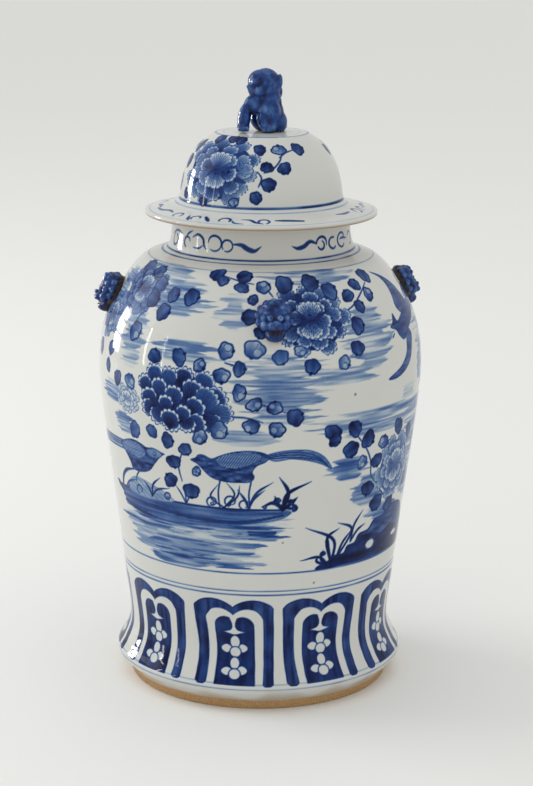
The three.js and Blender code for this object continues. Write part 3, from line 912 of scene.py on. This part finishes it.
def build_ring(material):
    """The ring under the lid that keeps it in the jar's mouth."""
    outer, inner, low, high = 0.075, 0.0695, 0.441, 0.4650
    bevel = 0.0012
    line = [
        (inner + bevel, low), (outer - bevel, low), (outer, low + bevel), (outer, high), (inner, high),
        (inner, low + bevel),
    ]
    corners = np.array(line)
    rows = []
    for a, b in zip(corners, np.roll(corners, -1, axis=0)):
        count = max(2, int(np.linalg.norm(b - a) / 0.003))
        rows += [a + (b - a) * i / count for i in range(count)]
    points, quads = turned_skin(np.array(rows), np.arange(0, 360, 3.0), closed=True)
    return turned_piece("lid_ring", points, quads, {}, material)


# ---- modelled lumps: the masks and the lion ----

# Lumps: centre, radii and lean about the front-to-back axis, in mm. A mask's X is across, Y up, Z out.
MASK_HEIGHT = 0.381  # metres up the jar, where its middle is
MASK_LEAN = math.radians(24)
EYE_ACROSS, EYE_UP = 4.5, 0.8
MOUTH_UP = -11.4
FACE_OUT = 14  # the eyes are painted only on what stands out further than this
# Rows of curls round a mask: how many, first one's place, sweep in degrees, radius, out, size, middle.
CURL_ROWS = [
    (9, -20, 220, 15.2, 5.4, 3.5, 4), (7, -20, 220, 11.4, 11.4, 3.1, 5.5),
    (4, 20, 140, 6.2, 14.9, 2.6, 9),
]
MASK_TURNS = {"front": 0, "right": 99, "back": 180, "left": -90}


def mask_lumps():
    """A lion's head: skull, muzzle, jaw, nose, then eyes, brows, cheeks and lips, then curls."""
    lumps = [
        ((0, 3.5, 0), (17.5, 16.5, 12), 0), ((0, 7.5, 5.5), (14.2, 13.4, 11.2), 0),
        ((0, -6, 10), (8.2, 6.4, 8.2), 0), ((0, -11, 3), (10.0, 8.0, 8.0), 0),
        ((0, -15.0, 5.5), (8.0, 4.6, 6.6), 0), ((0, -4.0, 17.6), (3.2, 2.2, 2.4), 0),
    ]
    for side in (-1, 1):
        lumps += [
            ((side * EYE_ACROSS, EYE_UP, 14.6), (3.1, 2.9, 2.8), 0),
            ((side * 5.6, 5.2, 14.2), (5.0, 2.0, 2.6), side * 14),
            ((side * 9.4, -4.6, 9.4), (4.4, 4.8, 4.8), 0),
            ((side * 3.2, -8.4, 15.4), (3.8, 2.9, 2.8), 0),
        ]
    for count, first, sweep, out, rise, size, lift in CURL_ROWS:
        for i in range(count):
            way = math.radians(first + sweep * i / (count - 1))
            centre = (out * math.cos(way), lift + out * 0.95 * math.sin(way), rise)
            lumps.append((centre, (size, size, size), 0))
    return lumps


MANE_LOCKS = 6  # in each of the three rows down the lion's back
LION_BASE = 539.3  # mm up, where the finial's underside sits in the crown


def lion_lumps():
    """The seated lion. Its forelegs stand at the left and it looks left and a little to the front."""
    lumps = [
        ((4, 3, 12), (15.6, 14, 14.5), 0), ((5, 1, 24), (12.8, 12.6, 23), 0),
        ((3.5, 0, 43.0), (15.0, 14.2, 16.6), 0), ((-6.6, -5, 40.5), (8.0, 7.8, 8.6), 0),
        ((-13.4, -6.6, 42.4), (2.6, 2.8, 2.2), 0), ((-7, -5.4, 32.4), (6.0, 5.6, 4.0), 0),
        ((-17.5, -7, 12.5), (6.4, 7.4, 14.6), 7), ((-10.5, -5, 25.5), (7.4, 8.0, 10), 22),
        ((-18.5, -9.6, 4.4), (6.4, 7.6, 4.4), 0), ((6, -9.5, 15), (11.6, 8.4, 18.4), 0),
        ((5, -14.2, 4.6), (8.2, 6.2, 4.8), 0), ((17.5, 4, 5.0), (7.6, 9.0, 7.0), 0),
        ((14.4, -4, 8.5), (9.8, 10.8, 12.0), 0), ((12.0, 1, 28), (6.2, 9.5, 20), 2),
        ((3.5, -10.5, 41), (8, 4.6, 9), 0), ((-6.4, -11.0, 47.0), (4.8, 3.0, 2.4), 10),
        ((-9.6, -2.6, 46.6), (3.0, 4.4, 2.4), 10), ((-2.6, -0.5, 46.5), (11.4, 12.0, 11.6), 0),
        ((13.6, -1, 17), (7.6, 10, 13), -4), ((-3.0, -13.0, 38.5), (4.6, 3.6, 5.4), 0),
        ((4.5, -3, 30), (13.6, 11.4, 13), 0), ((-6, -7, 27), (7, 6.4, 11), 12),
    ]
    for i in range(3):
        lumps.append(((-22.5 + i * 3.6, -15.6 - i * 0.8, 3.2), (2.2, 2.8, 2.8), 0))
        lumps.append(((0.6 + i * 4.4, -18.8, 3.2), (2.5, 2.2, 2.8), 0))
    for row, (up, out) in enumerate(((47, 13.2), (37, 12.6), (26, 12.4))):
        for i in range(MANE_LOCKS):
            way = math.radians(-20 + 175 * (i + 0.5 * (row % 2)) / MANE_LOCKS)
            lumps.append(((4.2 + out * math.cos(way), out * math.sin(way), up), (3.0, 3.0, 7.0), 0))
    return lumps


def lump_skin(name, lumps, axis, voxel, softness):
    """One closed skin over many ellipsoids, at the origin, in metres."""
    shell = bmesh.new()
    for centre, size, lean in lumps:
        place = Matrix.Translation(Vector(centre) * MM) @ Matrix.Rotation(math.radians(lean), 4, axis)
        place = place @ Matrix.Diagonal((size[0] * MM, size[1] * MM, size[2] * MM, 1))
        bmesh.ops.create_icosphere(shell, subdivisions=3, radius=1, matrix=place)
    mesh = bpy.data.meshes.new(name + "_lumps")
    shell.to_mesh(mesh)
    shell.free()
    rough = bpy.data.objects.new(name + "_lumps", mesh)
    bpy.context.scene.collection.objects.link(rough)
    remesh = rough.modifiers.new("skin", "REMESH")
    remesh.mode = "VOXEL"
    remesh.voxel_size = voxel
    smooth = rough.modifiers.new("soften", "SMOOTH")
    smooth.factor = 0.5
    smooth.iterations = softness
    bpy.context.view_layer.update()
    skin = bpy.data.meshes.new_from_object(rough.evaluated_get(bpy.context.evaluated_depsgraph_get()))
    bpy.data.objects.remove(rough)
    return skin


def positions(mesh):
    points = np.empty(len(mesh.vertices) * 3, np.float32)
    mesh.vertices.foreach_get("co", points)
    return points.reshape(-1, 3).astype(float)


def hollows(mesh, rounds):
    """How deep each point lies against a smoothed copy of its own skin, in mm. Raised is positive."""
    points = positions(mesh)
    edges = np.empty(len(mesh.edges) * 2, np.int32)
    mesh.edges.foreach_get("vertices", edges)
    a, b = edges.reshape(-1, 2).T
    normals = np.empty(len(mesh.vertices) * 3, np.float32)
    mesh.vertex_normals.foreach_get("vector", normals)
    smoothed = points.copy()
    neighbours = np.bincount(a, minlength=len(points)) + np.bincount(b, minlength=len(points))
    for _ in range(rounds):
        total = np.zeros_like(smoothed)
        for i in range(3):
            total[:, i] = np.bincount(a, smoothed[b, i], len(points))
            total[:, i] += np.bincount(b, smoothed[a, i], len(points))
        smoothed = total / np.maximum(neighbours, 1)[:, None]
    return np.einsum("ij,ij->i", points - smoothed, normals.reshape(-1, 3)) / MM


def build_masks(material):
    """The same press-moulded head four times, each set on the shoulder and turned round the jar."""
    skin = lump_skin("mask", mask_lumps(), "Z", 0.0006, 16)
    raised = hollows(skin, 30)
    points = positions(skin) / MM
    low = np.clip(-(points[:, 1] + 6) / 10, 0, 1)
    # Paler on raised parts and darker in hollows: partly the cobalt glaze running thin and pooling,
    # partly painted highlight on the bumps and painted shade in the hollows. Also darker towards the
    # bottom of the face.
    ink = np.clip(0.74 + 0.14 * low - 0.20 * raised, 0.40, 1)
    eyes = np.hypot(np.abs(points[:, 0]) - EYE_ACROSS, points[:, 1] - EYE_UP)
    for radius, tone in ((2.4, 0.52), (0.8, 0.80)):
        ink = np.where((eyes < radius) & (points[:, 2] > FACE_OUT), tone, ink)
    mouth = soft(np.hypot(points[:, 0] / 6.0, (points[:, 1] - MOUTH_UP) / 1.8) * 3 - 3, 1.2)
    mouth *= points[:, 2] > 7
    joint = np.clip((5.2 - points[:, 2]) / 2.5, 0, 1) * (np.hypot(points[:, 0], points[:, 1]) > 12)
    stain = np.clip(0.8 * mouth + 1.1 * joint, 0, 1)
    radii, heights = zip(*JAR_OUTLINE)
    stand = Matrix.Translation((0, -np.interp(MASK_HEIGHT, heights, radii), MASK_HEIGHT))
    stand = stand @ Matrix.Rotation(math.pi / 2 - MASK_LEAN, 4, "X")
    pieces = []
    for where, turn in MASK_TURNS.items():
        piece = smooth_piece("mask_" + where, skin.copy(), {"ink": ink, "stain": stain}, material)
        piece.data.transform(Matrix.Rotation(math.radians(turn), 4, "Z") @ stand)
        pieces.append(piece)
    return pieces


def build_lion(material):
    skin = lump_skin("lion", lion_lumps(), "Y", 0.0007, 26)
    raised = hollows(skin, 40)
    points = positions(skin) / MM
    # Paler on raised parts and darker in hollows: partly the cobalt glaze running thin and pooling,
    # partly painted highlight on the bumps and painted shade in the hollows.
    ink = np.clip(0.77 - 0.20 * raised, 0.42, 1)
    stain = np.clip((1.6 - points[:, 2]) / 2.0, 0, 1)
    points[:, 2] = np.maximum(points[:, 2], 0.0) + LION_BASE
    skin.vertices.foreach_set("co", (points * MM).astype(np.float32).ravel())
    return smooth_piece("lion_finial", skin, {"ink": ink, "stain": stain}, material)


# ---- materials ----

class Glaze:
    """A new material, and the kinds of node that the looks are mixed from."""

    def __init__(self, name):
        self.material = bpy.data.materials.new(name)
        self.material.use_nodes = True
        self.shader = self.material.node_tree.nodes["Principled BSDF"]

    def put(self, node, values):
        """Sets a node's sockets: a number or colour as it is, and another node's output by a link."""
        for key, value in values.items():
            socket = node.inputs[key]
            if isinstance(value, bpy.types.NodeSocket):
                self.material.node_tree.links.new(value, socket)
            elif socket.type == "RGBA":
                socket.default_value = (*value, 1)
            else:
                socket.default_value = value

    def new(self, kind, output, values, **settings):
        """A node with its settings made and its sockets set. Gives one of its outputs."""
        node = self.material.node_tree.nodes.new("ShaderNode" + kind)
        for key, value in settings.items():
            setattr(node, key, value)
        self.put(node, values)
        return node.outputs[output]

    def surface(self, colour, roughness, specular=0.5):
        """Sets the look, and gives the finished material."""
        values = {"Base Color": colour, "Roughness": roughness, "Specular IOR Level": specular}
        self.put(self.shader, values)
        return self.material

    def attribute(self, name):
        return self.new("Attribute", "Fac", {}, attribute_name=name)

    def noise(self, scale, detail, stretch=None):
        """Smooth noise in the object's own coordinates, stretched if wanted."""
        where = self.new("TexCoord", "Object", {})
        if stretch:
            where = self.new("Mapping", "Vector", {"Vector": where, "Scale": stretch})
        return self.new("TexNoise", "Fac", {"Scale": scale, "Detail": detail, "Vector": where})

    def calc(self, kind, *values):
        return self.new("Math", "Value", dict(enumerate(values)), operation=kind)

    def scaled(self, value, factor, offset):
        return self.calc("MULTIPLY_ADD", value, factor, offset)

    def ramp(self, value, stops):
        colour = self.new("ValToRGB", "Color", {"Fac": value})
        elements = colour.node.color_ramp.elements
        for element, (at, tone) in zip(elements, (stops[0], stops[-1])):
            element.position = at
            element.color = (*tone, 1)
        for at, tone in stops[1:-1]:
            elements.new(at).color = (*tone, 1)
        return colour

    def blend(self, share, a, b):
        """Colour a where share is 0 and b where it is 1; b may be a plain colour."""
        values = {"Factor": share, "A": a, "B": b}
        return self.new("Mix", "Result", values, data_type="RGBA", clamp_factor=True)

    def bump(self, height, strength, distance):
        values = {"Height": height, "Strength": strength, "Distance": distance}
        self.put(self.shader, {"Normal": self.new("Bump", "Normal", values)})


# Cobalt under glaze, from bare glaze to the thickest blue (linear colours).
COBALT = [
    (0.00, (0.665, 0.670, 0.640)), (0.10, (0.520, 0.575, 0.610)), (0.28, (0.200, 0.295, 0.450)),
    (0.50, (0.040, 0.115, 0.320)), (0.70, (0.006, 0.042, 0.195)), (0.86, (0.002, 0.016, 0.105)),
    (1.00, (0.001, 0.003, 0.030)),
]
GREEN_GREY = (0.500, 0.520, 0.500)
RUST = (0.300, 0.165, 0.070)
BURNT = (0.020, 0.012, 0.008)
FOOT_CLAY = [(0.3, (0.310, 0.175, 0.072)), (0.7, (0.580, 0.370, 0.180))]
RING_CLAY = [(0.3, (0.36, 0.27, 0.17)), (0.7, (0.52, 0.43, 0.31))]
FLOOR_WHITE = (0.91, 0.91, 0.89)
PAINTED_GLOSS = 0.13  # low, so that the white room doesn't veil the blues
MODELLED_GLOSS = 0.30


def painted_porcelain():
    """Glossy clear glaze over cobalt, bare clay at the foot, a little rust where the glaze is thin."""
    glaze = Glaze("painted_porcelain")
    ink = glaze.attribute("ink")
    clay = glaze.attribute("clay")
    stain = glaze.attribute("stain")
    pooled = glaze.noise(90, 4)
    brushed = glaze.noise(420, 2)
    uneven = glaze.scaled(pooled, 0.34, -0.17)
    uneven = glaze.calc("MULTIPLY_ADD", brushed, 0.16, uneven)
    uneven = glaze.calc("SUBTRACT", uneven, 0.08)
    uneven = glaze.calc("MULTIPLY", uneven, ink)
    colour = glaze.ramp(glaze.calc("ADD", ink, uneven), COBALT)
    cloudy = glaze.scaled(glaze.noise(14, 3), 0.30, -0.07)
    unpainted = glaze.scaled(ink, -1, 1)
    colour = glaze.blend(glaze.calc("MULTIPLY", cloudy, unpainted), colour, GREEN_GREY)
    colour = glaze.blend(glaze.calc("MULTIPLY", stain, 0.75), colour, RUST)
    grain = glaze.noise(900, 3)
    colour = glaze.blend(clay, colour, glaze.ramp(grain, FOOT_CLAY))
    wavy = glaze.noise(38, 2)
    wavy = glaze.calc("MULTIPLY_ADD", grain, glaze.calc("MULTIPLY", clay, 0.25), wavy)
    glaze.bump(wavy, 0.12, 0.0008)
    return glaze.surface(colour, glaze.scaled(clay, 0.62, 0.07), PAINTED_GLOSS)


def modelled_cobalt():
    """Streaky dark blue glaze, paler on raised parts and darker in hollows by the ink attribute: partly
    the glaze thinning and pooling, partly painted highlight and painted shade.
    """
    glaze = Glaze("modelled_cobalt")
    ink = glaze.attribute("ink")
    stain = glaze.attribute("stain")
    mottle = glaze.noise(150, 5)
    runs = glaze.noise(60, 3, stretch=(1.6, 1.6, 0.5))
    shade = glaze.calc("MULTIPLY_ADD", mottle, 0.95, ink)
    shade = glaze.calc("MULTIPLY_ADD", runs, 0.55, shade)
    shade = glaze.calc("SUBTRACT", shade, 0.74)
    colour = glaze.blend(stain, glaze.ramp(shade, COBALT), BURNT)
    glaze.bump(mottle, 0.35, 0.0006)
    return glaze.surface(colour, glaze.scaled(stain, 0.35, 0.08), MODELLED_GLOSS)


def bare_clay():
    """Dry clay, for the ring under the lid."""
    glaze = Glaze("bare_clay_ring")
    grain = glaze.noise(700, 4)
    glaze.bump(grain, 0.4, 0.0005)
    return glaze.surface(glaze.ramp(grain, RING_CLAY), 0.8)


def pale_floor():
    return Glaze("pale_floor").surface(FLOOR_WHITE, 0.75)


# ---- stage, light and camera ----

FLOOR_HALF = 24.0


def build_floor():
    mesh = bpy.data.meshes.new("floor")
    corners = [(x * FLOOR_HALF, y * FLOOR_HALF, 0) for x, y in ((-1, -1), (1, -1), (1, 1), (-1, 1))]
    mesh.from_pydata(corners, [], [(0, 1, 2, 3)])
    mesh.materials.append(pale_floor())
    floor = bpy.data.objects.new("floor", mesh)
    bpy.context.scene.collection.objects.link(floor)


def panel_light(name, azimuth, distance, height, width, tall, power, aim=0.30):
    """An area light round the jar: azimuth in degrees from the front mask, positive to the right."""
    light = bpy.data.lights.new(name, "AREA")
    light.shape = "RECTANGLE"
    light.size = width
    light.size_y = tall
    light.energy = power
    lamp = bpy.data.objects.new(name, light)
    u = math.radians(azimuth)
    lamp.location = (distance * math.sin(u), -distance * math.cos(u), height)
    lamp.rotation_euler = (Vector((0, 0, aim)) - lamp.location).to_track_quat("-Z", "Y").to_euler()
    bpy.context.scene.collection.objects.link(lamp)
    return lamp


def window_light(name, azimuth, distance, height, width, tall, power):
    """A bright pane that only shows as a highlight on the glaze."""
    lamp = panel_light(name, azimuth, distance, height, width, tall, power, height)
    lamp.visible_diffuse = False


PANE_HEIGHTS = (0.26, 0.56, 0.86)
ROOM_WHITE = (1.0, 1.0, 0.98, 1)
ROOM_STRENGTH = 0.76


def build_lights():
    """A window of three panes and two slits at the left, a soft light there, and one overhead."""
    for height in PANE_HEIGHTS:
        window_light(f"window_pane_{height}", -126, 2.3, height, 0.36, 0.24, 14)
    window_light("window_middle", -92, 2.6, 0.66, 0.07, 1.1, 8)
    window_light("window_near", -76, 2.6, 0.66, 0.05, 1.1, 5)
    panel_light("left_soft", -112, 3.0, 1.9, 2.0, 2.0, 32)
    panel_light("overhead", 20, 0.6, 3.4, 3.0, 3.0, 6)
    world = bpy.data.worlds.new("soft_room")
    world.use_nodes = True
    room = world.node_tree.nodes["Background"]
    room.inputs["Color"].default_value = ROOM_WHITE
    room.inputs["Strength"].default_value = ROOM_STRENGTH
    bpy.context.scene.world = world
    bpy.context.scene.view_settings.view_transform = "Standard"


CAMERA_DISTANCE = 2.104
CAMERA_HEIGHT = 0.794
CAMERA_AZIMUTH = math.radians(-5)
CAMERA_PITCH = math.radians(13.71)
CAMERA_YAW = 0.003
CAMERA_ROLL = 0.0072
LENS = 100.76  # mm, on a sensor 36 mm along its longer side


def build_camera():
    camera = bpy.data.cameras.new("camera")
    camera.lens = LENS
    camera.sensor_width = 36
    camera.sensor_fit = "AUTO"
    viewer = bpy.data.objects.new("camera", camera)
    turn = Matrix.Rotation(CAMERA_AZIMUTH, 4, "Z")
    look = Matrix.Rotation(-CAMERA_YAW, 4, "Z") @ Matrix.Rotation(math.pi / 2 - CAMERA_PITCH, 4, "X")
    place = Matrix.Translation((0, -CAMERA_DISTANCE, CAMERA_HEIGHT))
    viewer.matrix_world = turn @ place @ look @ Matrix.Rotation(CAMERA_ROLL, 4, "Z")
    bpy.context.scene.collection.objects.link(viewer)
    bpy.context.scene.camera = viewer


# ---- the scene ----

porcelain = painted_porcelain()
cobalt = modelled_cobalt()
ring_clay = bare_clay()

jar = build_jar(porcelain)
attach(jar, "jar")
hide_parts("jar_lower_section", "jar_upper_section", "jar_neck")

for mask, where in zip(build_masks(cobalt), MASK_TURNS):
    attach(mask, "jar")
    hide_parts("lion_mask_" + where)

lid = build_lid(porcelain)
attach(lid, "lid")
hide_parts("lid_shell")

ring = build_ring(ring_clay)
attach(ring, "lid")
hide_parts("lid_locating_ring")

lion = build_lion(cobalt)
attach(lion, "lid")
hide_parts("finial_lion")

build_floor()
build_lights()
build_camera()
